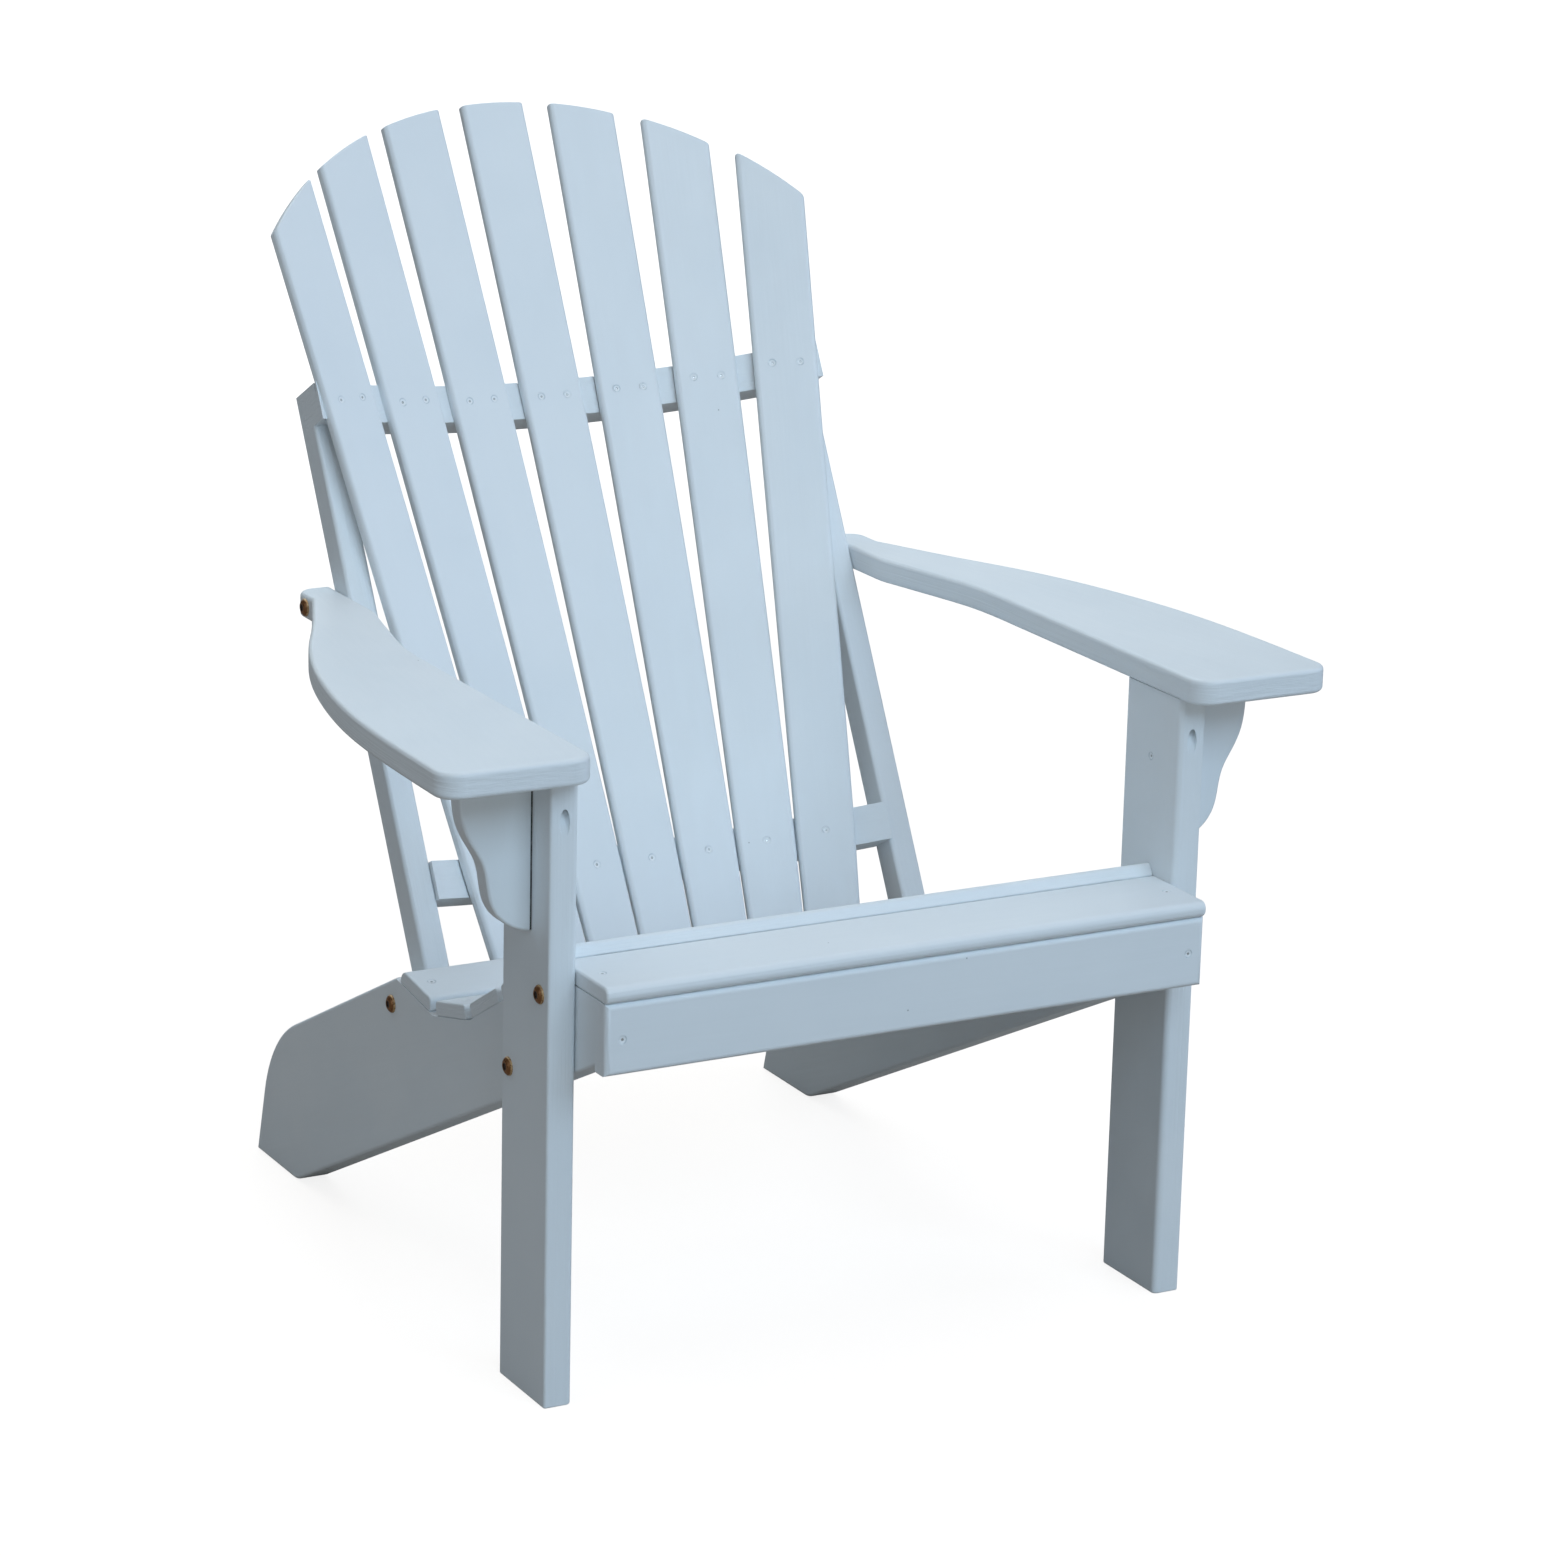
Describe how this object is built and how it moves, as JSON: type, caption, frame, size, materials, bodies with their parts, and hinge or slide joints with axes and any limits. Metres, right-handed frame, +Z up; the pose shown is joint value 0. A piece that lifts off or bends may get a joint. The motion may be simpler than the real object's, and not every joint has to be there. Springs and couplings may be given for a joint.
{
  "type": "adirondack chair",
  "caption": "White painted wooden adirondack chair with a fanned slat back on curved rails, dished slat seat and wide paddle arms on scroll brackets, for leaning back outdoors.",
  "frame": {"origin": "on the floor under the middle of the chair's overall box", "axes": "+Z up, -Y is the way the sitter faces, +X is the viewer's right when looking at the front of the chair"},
  "size_m": [0.8174, 0.8184, 0.9332],
  "materials": {
    "paint": "satin white paint with a cool tint over wood, faint grain",
    "bronze": "dark bronze plating, satin",
    "screw": "plain steel, heads sunk and painted over"
  },
  "bodies": {
    "root": {"leg_left": "paint", "leg_right": "paint", "stringer_left": "paint", "stringer_right": "paint", "apron": "paint", "seat_slat_1": "paint", "seat_slat_2": "paint", "seat_slat_3": "paint", "seat_slat_4": "paint", "seat_slat_5": "paint", "seat_slat_6": "paint", "post_left": "paint", "post_right": "paint", "rail_upper": "paint", "rail_lower": "paint", "back_slat_1": "paint", "back_slat_2": "paint", "back_slat_3": "paint", "back_slat_4": "paint", "back_slat_5": "paint", "back_slat_6": "paint", "back_slat_7": "paint", "arm_left": "paint", "arm_right": "paint", "corbel_left": "paint", "corbel_right": "paint", "leg_bolts": "bronze", "leg_nuts": "bronze", "post_bolts": "bronze", "post_nuts": "bronze", "arm_bolts": "bronze", "arm_nuts": "bronze", "seat_screws": "screw", "apron_screws": "screw", "corbel_screws": "screw", "pocket_screws": "screw", "back_screws_upper": "screw", "back_screws_lower": "screw"}
  },
  "joints": []
}
